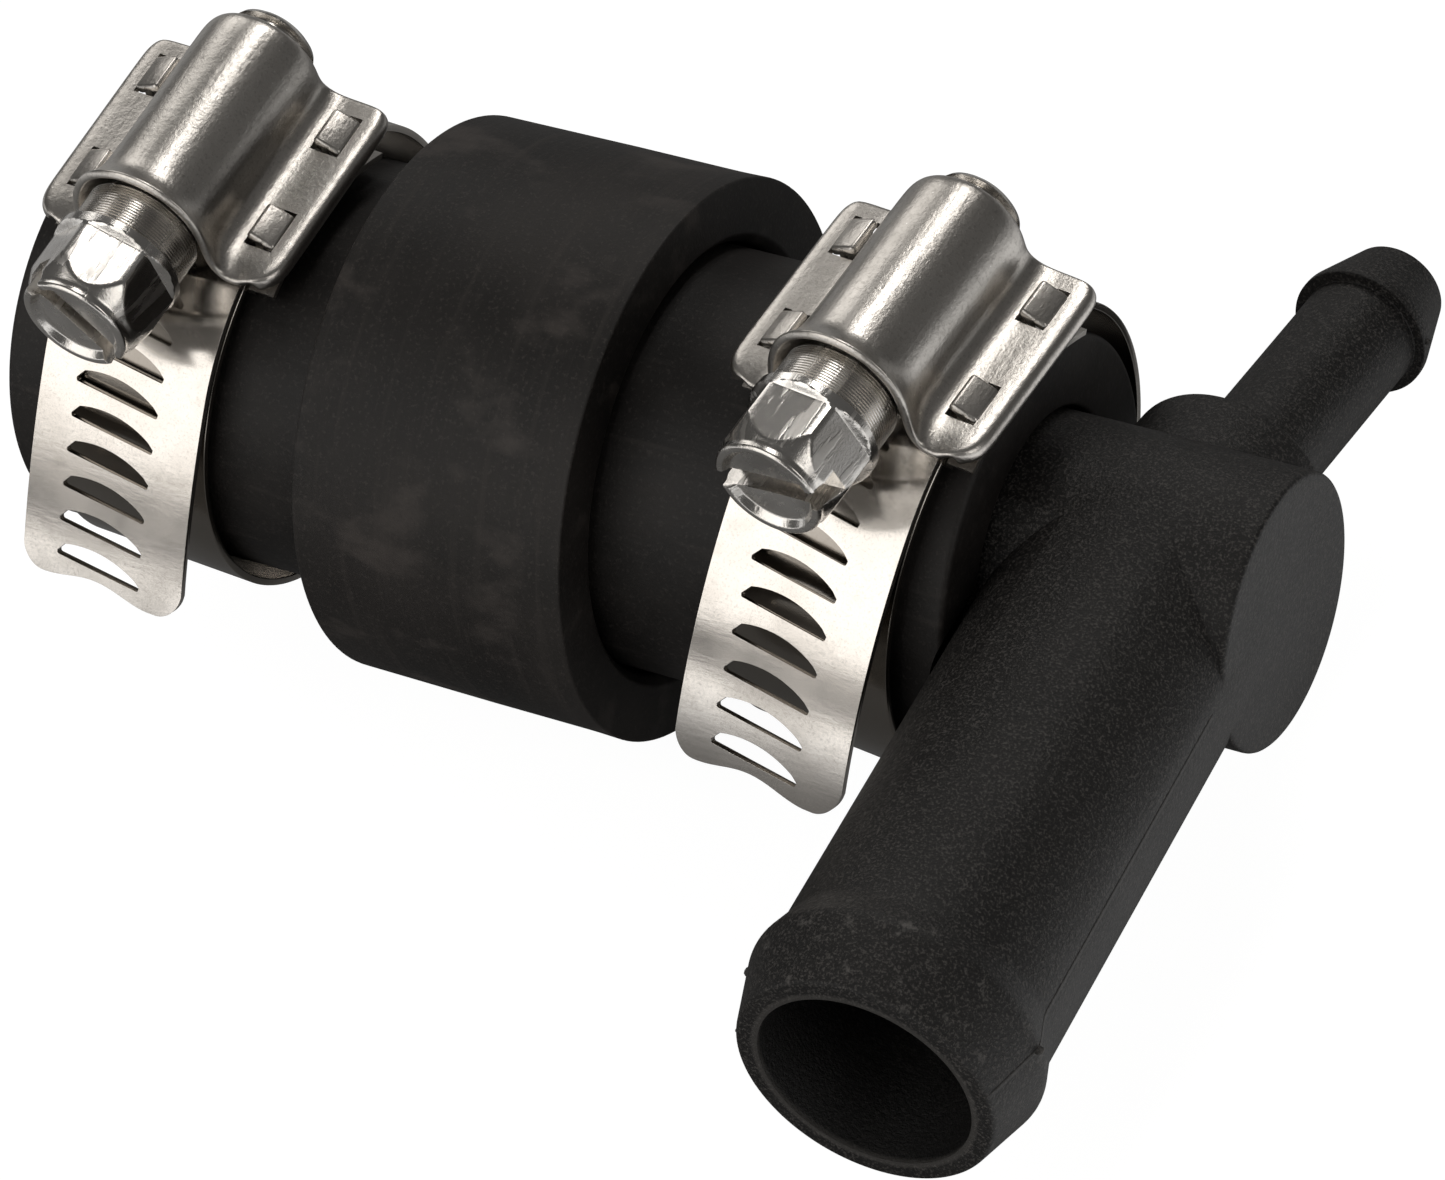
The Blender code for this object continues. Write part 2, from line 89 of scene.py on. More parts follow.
def softEdges(piece, width, segments=2, degrees=35):
    makeActive(piece)
    step = piece.modifiers.new("soft edges", "BEVEL")
    step.width = width * mm
    step.segments = segments
    step.limit_method = "ANGLE"
    step.angle_limit = math.radians(degrees)
    bpy.ops.object.modifier_apply(modifier=step.name)


def joinPieces(pieces, name):
    startFresh()
    for piece in pieces:
        piece.select_set(True)
    bpy.context.view_layer.objects.active = pieces[0]
    bpy.ops.object.join()
    pieces[0].name = name
    return pieces[0]


def softLine(corners, steps=5):  # (along, radius, round-over) corners to a line with arcs
    line = []
    last = len(corners) - 1
    for place, (along, radius, roundOver) in enumerate(corners):
        if roundOver == 0 or place in (0, last):
            line.append((along, radius))
            continue
        here = Vector((along, radius))
        before = Vector(corners[place - 1][:2]) - here
        after = Vector(corners[place + 1][:2]) - here
        reach = min(roundOver, before.length * nearHalf, after.length * nearHalf)
        first = here + before.normalized() * reach
        second = here + after.normalized() * reach
        for step in range(steps + 1):
            share = step / steps
            spot = first * (1 - share) ** 2 + here * 2 * share * (1 - share) + second * share**2
            line.append((spot.x, spot.y))
    return line


def turnRings(name, rings, sides, capped):  # rings of (along x, radius), extruded one after another
    startFresh()
    along, radius = rings[0]
    bpy.ops.mesh.primitive_circle_add(
        vertices=sides, radius=radius * mm, location=(along * mm, 0, 0), rotation=(0, math.pi / 2, 0)
    )
    piece = bpy.context.object
    piece.name = name
    bpy.ops.object.transform_apply(location=True, rotation=True, scale=True)
    bpy.ops.object.mode_set(mode="EDIT")
    bpy.ops.mesh.select_all(action="SELECT")
    if capped:
        bpy.ops.mesh.edge_face_add()
        bpy.ops.mesh.select_all(action="SELECT")
    for nextAlong, nextRadius in rings[1:]:
        move = ((nextAlong - along) * mm, 0, 0)
        bpy.ops.mesh.extrude_edges_move(TRANSFORM_OT_translate={"value": move})
        grow = nextRadius / radius
        if abs(grow - 1) > 1e-9:
            bpy.ops.transform.resize(value=(1, grow, grow), center_override=(nextAlong * mm, 0, 0))
        along, radius = nextAlong, nextRadius
    if capped:
        bpy.ops.mesh.edge_face_add()
    bpy.ops.object.mode_set(mode="OBJECT")
    finishMesh(piece)
    return piece


def aimPose(start, direction):  # turns local x to a direction, start in millimetres
    along = Vector(direction).normalized()
    across = Vector((0, 0, 1)).cross(along).normalized()
    up = along.cross(across)
    turn = Matrix((along, across, up)).transposed().to_4x4()
    return Matrix.Translation(Vector(start) * mm) @ turn


# shader maths: a Value wraps a socket, and Python operators on it add Math nodes

def plug(tree, item, socket):
    if isinstance(item, Value):
        tree.links.new(item.socket, socket)
    else:
        socket.default_value = item


def addNode(tree, kind, settings=None, out=0, **sockets):  # sockets by name, or s0, s1 ... by place
    made = tree.nodes.new(kind)
    for key, setting in (settings or {}).items():
        setattr(made, key, setting)
    for key, item in sockets.items():
        socket = int(key[1:]) if key[1:].isdigit() else key.replace("_", " ")
        plug(tree, item, made.inputs[socket])
    return Value(tree, made.outputs[out])


class Value:
    def __init__(self, tree, socket):
        self.tree = tree
        self.socket = socket

    def maths(self, kind, *items):
        sockets = {f"s{place}": item for place, item in enumerate(items)}
        return addNode(self.tree, "ShaderNodeMath", {"operation": kind}, **sockets)

    def __add__(self, other):
        return self.maths("ADD", self, other)

    def __sub__(self, other):
        return self.maths("SUBTRACT", self, other)

    def __rsub__(self, other):
        return self.maths("SUBTRACT", other, self)

    def __mul__(self, other):
        return self.maths("MULTIPLY", self, other)

    def __pow__(self, other):
        return self.maths("POWER", self, other)

    __radd__ = __add__
    __rmul__ = __mul__

    def band(self, low, high):  # 0 below low, 1 above high
        return addNode(
            self.tree, "ShaderNodeMapRange", {"interpolation_type": "SMOOTHSTEP"}, out="Result",
            Value=self, From_Min=low, From_Max=high,
        )


class Finish:
    def __init__(self, name, metal=0.0, shine=0.5):
        self.material = bpy.data.materials.new(name)
        self.material.use_nodes = True
        self.tree = self.material.node_tree
        self.shader = self.tree.nodes["Principled BSDF"]
        self.shader.inputs["Metallic"].default_value = metal
        self.shader.inputs["Specular IOR Level"].default_value = shine
        self.place = self.node("ShaderNodeTexCoord", out="Object")

    def node(self, kind, settings=None, out=0, **sockets):
        return addNode(self.tree, kind, settings, out, **sockets)

    def noise(self, scale, detail=3.0, rough=0.55, stretch=None):
        spot = self.place
        if stretch:
            spot = self.node("ShaderNodeMapping", Vector=spot, Scale=stretch)
        return self.node(
            "ShaderNodeTexNoise", out="Fac", Vector=spot, Scale=scale, Detail=detail, Roughness=rough
        )

    def cells(self, scale):  # distance to the middle of the nearest cell
        return self.node(
            "ShaderNodeTexVoronoi", {"feature": "F1"}, out="Distance", Vector=self.place, Scale=scale
        )

    def between(self, operation, first, second, out=0):  # maths on two vectors
        return self.node("ShaderNodeVectorMath", {"operation": operation}, out=out, s0=first, s1=second)

    def axis(self, spot, name):  # one coordinate of a place
        return self.node("ShaderNodeSeparateXYZ", out=name, Vector=spot)

    def tint(self, share, first, second):  # colour between two by a share
        return self.node(
            "ShaderNodeMix", {"data_type": "RGBA"}, out=2, Factor=share, s6=(*first, 1), s7=(*second, 1)
        )

    def wear(self, share, under, colour):  # a colour laid over another by a share
        return self.node(
            "ShaderNodeMix", {"data_type": "RGBA"}, out=2, Factor=share, s6=under, s7=(*colour, 1)
        )

    def bump(self, height, strength, depth):
        return self.node("ShaderNodeBump", Height=height, Strength=strength, Distance=depth)

    def set(self, **sockets):
        for key, item in sockets.items():
            plug(self.tree, item, self.shader.inputs[key.replace("_", " ")])
        return self.material


def dress(piece, body, node, material):
    piece.data.materials.clear()
    piece.data.materials.append(material)
    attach(piece, body)
    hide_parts(node)


# finishes

sleeveRubber = {
    "shine": 0.31, "dark": (0.0070, 0.0060, 0.0054), "pale": (0.0150, 0.0129, 0.0116),
    "grain": (0.033, 0.0285, 0.0257), "drag": (0.040, 0.0345, 0.031),
}
collarRubber = {
    "shine": 0.31, "dark": (0.0072, 0.0061, 0.0054), "pale": (0.0180, 0.0153, 0.0136),
    "grain": (0.038, 0.0325, 0.029), "rings": (0.036, 0.0305, 0.027), "scuff": (0.046, 0.0387, 0.0345),
}
filledPlastic = {
    "shine": 0.34, "dark": (0.0040, 0.0036, 0.0033), "pale": (0.0072, 0.0066, 0.0061),
    "dust": (0.050, 0.046, 0.0427), "fleck": (0.10, 0.093, 0.087), "grain": (0.036, 0.0335, 0.0315),
    # bore is painted shade inside the branch's bore
    # lip is a painted highlight on the rim round the branch's mouth
    "seam": (0.045, 0.042, 0.039), "bore": (0.003, 0.0028, 0.0026), "lip": (0.09, 0.084, 0.078),
    "rub": (0.10, 0.094, 0.088),
}
bandSteel = {
    "clean": (0.76, 0.722, 0.675), "smudged": (0.66, 0.622, 0.575), "rub": (0.44, 0.41, 0.37),
    # the last two entries are painted shade: its colour for the front of the turn under the tail, and where
    # it fades out along y
    "grain": (0.43, 0.40, 0.365), "paintedShade": (0.150, 0.130, 0.105), "paintedShadeEdge": (-0.0135, -0.0050),
}
housingSteel = {
    "pale": (0.66, 0.63, 0.59), "dark": (0.52, 0.495, 0.46), "grain": (0.30, 0.28, 0.255),
    "speck": (0.95, 0.93, 0.9),
}
screwSteel = {"pale": (0.80, 0.775, 0.74), "dark": (0.60, 0.575, 0.54), "grain": (0.36, 0.34, 0.315)}
branchMarks = {  # metres along the branch, across it or round its axis, where each mark fades in
    "seamHeight": 0.0016, "seamEdge": (0.00004, 0.00022), "seamSide": (0.0080, 0.0090),
    "seamStart": (0.0110, 0.0118), "boreEdge": (0.00725, 0.0074), "boreDepth": (0.0150, 0.0440),
    "lipStart": (0.0443, 0.0447), "lipEdge": (0.00742, 0.0077), "rubStart": (0.0385, 0.0400),
    "rubEdge": (0.0084, 0.0088),
}


def sleeveRubberFinish():
    look = sleeveRubber
    rubber = Finish("sleeve rubber", shine=look["shine"])
    cloud = rubber.noise(140, 4)
    drag = rubber.noise(900, 2, stretch=(0.12, 1, 1))
    grain = rubber.noise(3600, 3, 0.7)
    colour = rubber.tint(cloud.band(0.35, 0.7), look["dark"], look["pale"])
    colour = rubber.wear(grain.band(0.54, 0.68) * 0.6, colour, look["grain"])
    colour = rubber.wear(drag.band(0.6, 0.78) * 0.35, colour, look["drag"])
    rough = 0.42 + cloud * 0.16 + drag * 0.1
    rise = grain * 0.6 + drag * 0.8
    return rubber.set(Base_Color=colour, Roughness=rough, Normal=rubber.bump(rise, 0.42, 0.00008))


def collarRubberFinish():
    look = collarRubber
    rubber = Finish("collar rubber", shine=look["shine"])
    cloud = rubber.noise(85, 5)
    rings = rubber.noise(1500, 3, stretch=(1, 0.045, 0.045))
    grain = rubber.noise(3700, 3, 0.7)
    colour = rubber.tint(cloud.band(0.3, 0.72), look["dark"], look["pale"])
    colour = rubber.wear(grain.band(0.54, 0.68) * 0.6, colour, look["grain"])
    colour = rubber.wear(rings.band(0.5, 0.8) * 0.4, colour, look["rings"])
    scuff = rubber.noise(230, 5, stretch=(0.6, 1, 1)).band(0.52, 0.7) * 0.7
    colour = rubber.wear(scuff, colour, look["scuff"])
    rough = 0.46 + cloud * 0.14 + rings * 0.1
    rise = rings * 0.9 + grain * 0.5
    return rubber.set(Base_Color=colour, Roughness=rough, Normal=rubber.bump(rise, 0.45, 0.00009))


def fittingPlasticFinish(fitting):
    look, marks = filledPlastic, branchMarks
    plastic = Finish("filled plastic", shine=look["shine"])
    cloud = plastic.noise(110, 4)
    grain = plastic.noise(2600, 3, 0.7)
    fleck = plastic.cells(2400.0)
    colour = plastic.tint(cloud.band(0.3, 0.75), look["dark"], look["pale"])
    dust = plastic.noise(5200, 3, 0.7)
    colour = plastic.wear(dust.band(0.5, 0.64) * 0.95, colour, look["dust"])
    colour = plastic.wear((1 - fleck).band(0.82, 0.98) * 0.4, colour, look["fleck"])
    colour = plastic.wear(grain.band(0.58, 0.75) * 0.35, colour, look["grain"])
    branchAim = fitting["branchAim"]
    lean = Vector((0, 0, 1)).cross(branchAim).normalized()  # level, and square to the branch
    offset = plastic.between("SUBTRACT", plastic.place, Vector((fitting["middleX"] * mm, 0, 0)))
    across = plastic.between("DOT_PRODUCT", offset, lean, out="Value")
    along = plastic.between("DOT_PRODUCT", offset, branchAim, out="Value")
    high = plastic.axis(offset, "Z")
    seamGap = high.maths("ABSOLUTE", high - marks["seamHeight"])
    onSide = across.maths("ABSOLUTE", across).band(*marks["seamSide"]) * along.band(*marks["seamStart"])
    seam = (1 - seamGap.band(*marks["seamEdge"])) * onSide  # parting line along both sides of the branch
    colour = plastic.wear(seam * 0.5, colour, look["seam"])
    ring = (across * across + high * high) ** 0.5  # distance from the branch's axis
    # painted shade inside the branch's bore: its wall is darkened, more so towards the mouth
    bore = (1 - ring.band(*marks["boreEdge"])) * along.band(*marks["boreDepth"])
    # painted highlight: the inner edge of the branch's tip, round the bore's mouth, is painted lighter as a
    # lit rim
    lip = along.band(*marks["lipStart"]) * (1 - ring.band(*marks["lipEdge"]))
    colour = plastic.wear(bore * 0.8, colour, look["bore"])
    colour = plastic.wear(lip * 0.32, colour, look["lip"])
    rub = along.band(*marks["rubStart"]) * ring.band(*marks["rubEdge"])  # scuffs on the bead
    rub = rub * plastic.noise(520, 5, 0.7).band(0.58, 0.7)
    colour = plastic.wear(rub * 0.7, colour, look["rub"])
    rough = 0.5 + grain * 0.16 - cloud * 0.08
    rise = grain * 0.7 + dust * 0.7 + (1 - fleck) * 0.3 + seam * 1.6
    return plastic.set(Base_Color=colour, Roughness=rough, Normal=plastic.bump(rise, 0.55, 0.00013))


def bandSteelFinish(name, paintedShade):  # share of painted shade and painted dark reflection on the front of the turn, under the tail
    look = bandSteel
    steel = Finish(name, 1.0)
    smudge = steel.noise(150, 5)
    fine = steel.noise(2600, 3, stretch=(0.2, 1, 1))
    rub = steel.noise(420, 4).band(0.52, 0.72)
    colour = steel.tint(smudge.band(0.35, 0.75), look["clean"], look["smudged"])
    colour = steel.wear(rub * 0.25, colour, look["rub"])
    grain = steel.noise(5200, 3, 0.7)
    colour = steel.wear(grain.band(0.5, 0.7) * 0.35, colour, look["grain"])
    # painted shade: the front of the turn, below the tail, is darkened to a dull brown, standing in for the
    # tail's shadow and dark reflections
    front = 1 - steel.axis(steel.place, "Y").band(*look["paintedShadeEdge"])
    colour = steel.wear(front * paintedShade, colour, look["paintedShade"])
    rough = 0.12 + smudge.band(0.3, 0.8) * 0.09 + grain * 0.06
    rise = fine * 0.8 + smudge * 0.35 + grain * 0.25
    return steel.set(Base_Color=colour, Roughness=rough, Normal=steel.bump(rise, 0.12, 0.00004))


def housingSteelFinish():
    look = housingSteel
    steel = Finish("housing steel", 1.0)
    cloud = steel.noise(200, 4)
    grain = steel.noise(4000, 3, 0.7)
    scratch = steel.noise(2200, 2, stretch=(1, 0.06, 1))
    speck = steel.cells(1500.0)
    colour = steel.tint(cloud.band(0.3, 0.75), look["pale"], look["dark"])
    colour = steel.wear(grain.band(0.48, 0.7) * 0.45, colour, look["grain"])
    colour = steel.wear((1 - speck).band(0.88, 0.98) * 0.8, colour, look["speck"])
    rough = 0.22 + cloud * 0.08 + grain * 0.1
    rise = grain * 0.9 + scratch * 0.7 + (1 - speck) * 0.4
    return steel.set(Base_Color=colour, Roughness=rough, Normal=steel.bump(rise, 0.38, 0.00006))


def screwSteelFinish():
    look = screwSteel
    steel = Finish("screw steel", 1.0)
    cloud = steel.noise(320, 4)
    grain = steel.noise(5400, 3, 0.7)
    scratch = steel.noise(1300, 3, stretch=(1, 0.12, 1)).band(0.54, 0.66)
    colour = steel.tint(cloud.band(0.3, 0.75), look["pale"], look["dark"])
    colour = steel.wear(grain.band(0.55, 0.75) * 0.3, colour, look["grain"])
    rough = 0.16 + cloud * 0.1 + scratch * 0.14
    rise = grain * 0.45 + scratch * 0.45
    return steel.set(Base_Color=colour, Roughness=rough, Normal=steel.bump(rise, 0.32, 0.00006))


# hose sleeve, collar and branch fitting

sleeve = {"radius": 14.4, "bore": 9.6, "end": 70.7, "edge": 0.5, "boreEdge": 0.3, "sides": 144}
collar = {"start": 25.3, "end": 45.6, "radius": 19.2, "gap": 0.3, "mouth": 0.7, "sides": 160}
fitting = {
    "radius": 9.3, "bore": 7.1, "spigotStart": 48.7, "discEnd": 88.0, "middleX": 78.7, "gap": 0.3,
    "branchAim": Vector((math.sin(math.radians(1.93)), -math.cos(math.radians(1.93)), 0)),
    "branchBore": 7.16, "branchTip": 44.8, "beadStart": 37.6, "beadPeak": 40.0, "beadCrest": 10.0,
    "branchLip": (8.62, 7.9), "branchDraft": 0.06, "spigotEnd": 84, "sides": 144, "branchSides": 140,
    "nippleAim": Vector((0.0433, 0.9907, -0.1288)).normalized(),
    "nippleBore": 2.3, "nippleTip": 34.6, "bossRadius": 7.4, "bossEnd": 10.7, "tube": 4.07, "barb": 4.85,
    "barbSpan": (29.1, 29.7), "nippleLip": (3.4, 2.9), "nippleSides": 112, "boreSides": 96, "edge": 0.16,
    "nibs": [  # which limb, place along, across and up, size
        ("branch", (40.2, 9.8, 1.5), (0.7, 0.8, 0.4)), ("branch", (40.0, -9.8, 1.5), (0.9, 0.7, 0.4)),
        ("branch", (44.6, -8.3, 1.5), (0.4, 0.6, 0.35)), ("nipple", (29.5, -4.75, 0.5), (0.6, 0.7, 0.4)),
    ],
}


def makeSleeve():
    edge, boreEdge = sleeve["edge"], sleeve["boreEdge"]
    outer, bore, end = sleeve["radius"], sleeve["bore"], sleeve["end"]
    corners = [
        (end / 2, outer, 0), (0, outer, edge), (0, bore, boreEdge), (end, bore, boreEdge),
        (end, outer, edge), (end / 2, outer, 0),
    ]
    piece = turnRings("hoseSleeve", softLine(corners), sleeve["sides"], False)
    reach = fitting["radius"] + fitting["gap"]
    relief = turnRings("relief", [(1, reach), (40, reach)], 120, True)  # clears the branch's foot
    settle(relief, aimPose((fitting["middleX"], 0, 0), fitting["branchAim"]))
    carve(piece, relief)
    finishMesh(piece)
    smoothBy(piece)
    dress(piece, "sleeve", "hose_sleeve", sleeveRubberFinish())
    print("sleeve made")


def makeCollar():
    inner = sleeve["radius"] + collar["gap"]
    start, end, outer, mouth = collar["start"], collar["end"], collar["radius"], collar["mouth"]
    corners = [
        ((start + end) / 2, outer - 0.03, 0), (start, outer - 0.12, 0.3), (start, inner + mouth, 0.15),
        (start + mouth, inner, 0.3), (end - mouth, inner, 0.3), (end, inner + mouth, 0.15),
        (end, outer + 0.05, 0.18), (end - 2.2, outer - 0.02, 0.8), ((start + end) / 2, outer - 0.03, 0),
    ]
    piece = turnRings("collarRing", softLine(corners), collar["sides"], False)
    smoothBy(piece)
    dress(piece, "sleeve", "collar_ring", collarRubberFinish())
    print("collar made")


def makeFitting():
    radius, middle = fitting["radius"], (fitting["middleX"], 0, 0)
    branchPose = aimPose(middle, fitting["branchAim"])
    nipplePose = aimPose(middle, fitting["nippleAim"])
    start, end = fitting["spigotStart"], fitting["discEnd"]
    corners = [(start, radius - 0.9, 0), (start + 0.3, radius - 0.6, 0.2), (start + 2, radius, 0.5)]
    corners += [(end, radius, 0.4), (end, radius - 1.0, 0)]
    piece = turnRings("branchFitting", softLine(corners), fitting["sides"], True)
    crest, tip, plain = fitting["beadCrest"], fitting["branchTip"], radius - fitting["branchDraft"]
    lip, inside = fitting["branchLip"]
    corners = [
        (-1.0, plain, 0), (fitting["beadStart"], plain, 0.5), (fitting["beadPeak"], crest, 0.5),
        (tip, lip, 0.3), (tip, inside, 0),
    ]
    branch = turnRings("branch", softLine(corners), fitting["branchSides"], True)
    settle(branch, branchPose)
    tube, barb, tip = fitting["tube"], fitting["barb"], fitting["nippleTip"]
    bossRadius, bossEnd = fitting["bossRadius"], fitting["bossEnd"]
    lip, inside = fitting["nippleLip"]
    barbStart, barbEnd = fitting["barbSpan"]
    corners = [
        (2.0, bossRadius, 0), (bossEnd, bossRadius, 0.45), (bossEnd, tube, 0.5), (barbStart, tube, 0.12),
        (barbStart, barb, 0.12), (barbEnd, barb, 0.25), (tip, lip, 0.25), (tip, inside, 0),
    ]
    nipple = turnRings("nipple", softLine(corners), fitting["nippleSides"], True)
    settle(nipple, nipplePose)
    carve(piece, branch, "UNION")
    carve(piece, nipple, "UNION")
    for pose, place, size in fitting["nibs"]:  # flash left on the parting line
        startFresh()
        bpy.ops.mesh.primitive_ico_sphere_add(subdivisions=2, radius=0.5 * mm)
        nib = bpy.context.object
        nib.scale = size
        nib.location = Vector(place) * mm
        settle(nib)
        settle(nib, branchPose if pose == "branch" else nipplePose)
        carve(piece, nib, "UNION")
    bores = [
        ("spigotBore", fitting["bore"], (40, fitting["spigotEnd"]), None),
        ("branchBore", fitting["branchBore"], (-0.5, 60), branchPose),
        ("nippleBore", fitting["nippleBore"], (3, 50), nipplePose),
    ]
    for name, bore, (first, second), pose in bores:
        tool = turnRings(name, [(first, bore), (second, bore)], fitting["boreSides"], True)
        settle(tool, pose)
        carve(piece, tool)
    finishMesh(piece)
    softEdges(piece, fitting["edge"], 2, 50)
    smoothBy(piece, 32)
    dress(piece, "sleeve", "branch_fitting", fittingPlasticFinish(fitting))
    print("fitting made")


# clamps, each in its own frame: x across the band, y to the rear, z up through the housing

clamp = {
    "loopRadius": 15.5, "thick": 0.5, "gap": 0.22, "half": 6.3, "pitch": 2.52, "ramp": (250.0, 320.0),
    "loopSpan": (-12.0, 338.0), "slotLength": 6.6, "slotTilt": 7.0, "slotShift": -0.3, "lastSlot": 2.2,
    "slotRise": 0.98, "slotFull": 0.68, "endCorners": (1.5, 1.9), "loopSlots": 4, "edge": 0.09,
    "station": 0.55, "columns": (-4.6, 3.6, 4.9),
    "endWave": {"middle": -0.54, "slope": 0.05, "height": 0.36, "crest": 3.8, "length": 8.6},
}
housing = {
    "half": 9.65, "front": -6.5, "rear": 9.2, "sheet": 0.6, "arch": 4.45, "screwZ": 19.4,
    "flangeZ": 17.54, "tabs": (-2.7, 6.0), "tabHalf": 1.5, "tabIn": 6.7, "tabOut": 0.3,
    "slot": (2.1, 0.5, 3),
    "curl": {"across": 6.4, "width": 1.3, "rows": 3, "forward": 0.55, "down": 0.5},
}
screw = {
    "core": 1.8, "thread": 2.4, "threadPitch": 2.6, "threadTurns": 5, "threadStart": -5.3, "neck": 4.1,
    "neckStart": -6.1, "grooves": 13, "groove": 0.21, "grooveDepth": 0.1, "head": -9.75, "across": 8.0,
    "blank": 0.06, "face": -15.8, "slot": 1.5, "slotLength": 4.0, "edge": 0.07,
}
saddle = {
    "thick": 0.38, "half": 8.6, "rise": 0.9, "span": (22.0, -30.0), "tabRise": 0.4, "leg": 0.6,
    "pad": (2.1, 0.75), "padOut": 0.38, "padDrop": 0.22, "padTilt": 24.0,
}
sides = {  # tail: where it leaves the turn, its flare's radius and its free length
    "left": {
        "spot": (10.5, 0.45, 0.35), "turn": (-2.0, 3.5, 7.0), "tail": (51.0, 80.0, 15.9),
        "slotTurn": -47.0, "hexTurn": 17.0, "bow": -3.5,
    },
    "right": {
        "spot": (62.7, 0.2, 0.4), "turn": (-5.0, 2.8, 4.2), "tail": (38.0, 46.0, 20.2),
        "slotTurn": 10.0, "hexTurn": 1.0, "bow": 4.0,
    },
}


def clampPose(side):
    yaw, lean, roll = (math.radians(value) for value in sides[side]["turn"])
    turn = Matrix.Rotation(yaw, 4, "Z") @ Matrix.Rotation(lean, 4, "Y") @ Matrix.Rotation(roll, 4, "X")
    return Matrix.Translation(Vector(sides[side]["spot"]) * mm) @ turn


def ringSpot(radius, degrees):  # side view of the clamp, from the top towards the front
    turn = math.radians(degrees)
    return Vector((-radius * math.sin(turn), radius * math.cos(turn)))


def loopPath():  # middle line of the closed turn, as (run, place, heading)
    path = []
    first, last = clamp["loopSpan"]
    low, high = clamp["ramp"]
    spots = []
    count = 280
    for step in range(count + 1):
        degrees = first + (last - first) * step / count
        share = min(max((degrees - low) / (high - low), 0), 1)
        rise = (clamp["thick"] + clamp["gap"]) * share * share * (3 - 2 * share)
        spots.append(ringSpot(clamp["loopRadius"] + clamp["thick"] / 2 + rise, degrees))
    run = 0.0
    for step, spot in enumerate(spots):
        before, after = spots[max(step - 1, 0)], spots[min(step + 1, count)]
        if step:
            run += (spot - spots[step - 1]).length
        path.append((run, spot, (after - before).normalized()))
    return path


def tailPath(leave, flare, free):  # outer layer under the worm, then the free flare
    radius = clamp["loopRadius"] + clamp["thick"] * 1.5 + clamp["gap"]
    first = clamp["loopSpan"][0]
    path = []
    count = 80
    for step in range(count + 1):
        degrees = first + (leave - first) * step / count
        turn = math.radians(degrees)
        heading = Vector((-math.cos(turn), -math.sin(turn)))
        path.append((radius * math.radians(degrees - first), ringSpot(radius, degrees), heading))
    startRun, startSpot, startHeading = path[-1]
    side = Vector((-startHeading.y, startHeading.x))
    for step in range(1, 61):
        run = free * step / 60
        bend = run / flare
        spot = startSpot + startHeading * flare * math.sin(bend) + side * flare * (1 - math.cos(bend))
        path.append((startRun + run, spot, startHeading * math.cos(bend) + side * math.sin(bend)))
    return path


def pathSpot(path, run):
    low, high = 0, len(path) - 1
    while high - low > 1:
        middle = (low + high) // 2
        if path[middle][0] <= run:
            low = middle
        else:
            high = middle
    first, second = path[low], path[high]
    share = (run - first[0]) / (second[0] - first[0])
    return first[1].lerp(second[1], share), first[2].lerp(second[2], share).normalized()


def slotLine():  # worm slot outline: straight towards the tail's end, arched on the other side
    half = clamp["slotLength"] / 2
    flat = [(-half, 0.3, 0), (-half + 0.05, 0.55, 0.2), (half - 0.02, 0.55, 0.15), (half, 0.2, 0)]
    line = softLine(flat, 3)
    for step in range(1, 14):
        share = step / 14
        arch = clamp["slotRise"] * math.sin(math.pi * share) ** clamp["slotFull"]
        line.append((half - 2 * half * share, 0.2 - arch - 0.26 * share**2))
    turn = math.radians(clamp["slotTilt"])
    turned = []
    for across, along in line:
        turned.append((
            across * math.cos(turn) - along * math.sin(turn) + clamp["slotShift"],
            across * math.sin(turn) + along * math.cos(turn),
        ))
    return turned


def tailEndLine():  # wavy cut of the tail's end between two round corners, seen from outside
    wave = []
    edge, shape = clamp["half"], clamp["endWave"]
    for step in range(45):
        across = -math.cos(math.pi * step / 44) * (edge - 0.02)
        corner = clamp["endCorners"][across > 0]
        into = max(abs(across) - edge + corner, 0)
        along = shape["slope"] * across + shape["middle"]
        along += shape["height"] * math.cos((across - shape["crest"]) / shape["length"] * 2 * math.pi)
        wave.append((across, along - corner + math.sqrt(corner**2 - into**2)))
    reach = edge + 1.7
    return [(-reach, 3), (-reach, wave[0][1] - 0.6)] + wave + [(reach, wave[-1][1] - 0.6), (reach, 3)]


def outlineTool(name, line, along):  # flat outline swept through the strip
    startFresh()
    bpy.ops.mesh.primitive_circle_add(vertices=len(line), radius=mm, fill_type="NGON")
    tool = bpy.context.object
    tool.name = name
    for vertex, (across, step) in zip(tool.data.vertices, line):
        vertex.co = Vector((-across, along + step, -2)) * mm
    bpy.ops.object.mode_set(mode="EDIT")
    bpy.ops.mesh.select_all(action="SELECT")
    bpy.ops.mesh.extrude_region_move(TRANSFORM_OT_translate={"value": (0, 0, 4 * mm)})
    bpy.ops.mesh.select_all(action="SELECT")
    bpy.ops.mesh.normals_make_consistent(inside=False)
    bpy.ops.object.mode_set(mode="OBJECT")
    return tool


def crispNormals(shape):  # corner normals that keep the strip's faces flat up to their soft edges
    flats, walls = {}, {}
    for face in shape.polygons:
        if abs(face.normal.z) > 0.995:
            outwards = Vector((0, 0, math.copysign(1, face.normal.z)))
            flats.update((corner, outwards) for corner in face.vertices)
        elif abs(face.normal.z) < 0.05:
            for corner in face.vertices:
                walls[corner] = walls.get(corner, Vector()) + face.normal
    normals = [None] * len(shape.loops)
    for face in shape.polygons:
        wall = abs(face.normal.z) < 0.05
        for loop in face.loop_indices:
            corner = shape.loops[loop].vertex_index
            if corner in flats and not wall:
                normals[loop] = flats[corner]
            elif corner in walls and not wall:
                normals[loop] = walls[corner].normalized()
            else:
                normals[loop] = Vector(shape.corner_normals[loop].vector)
    return normals


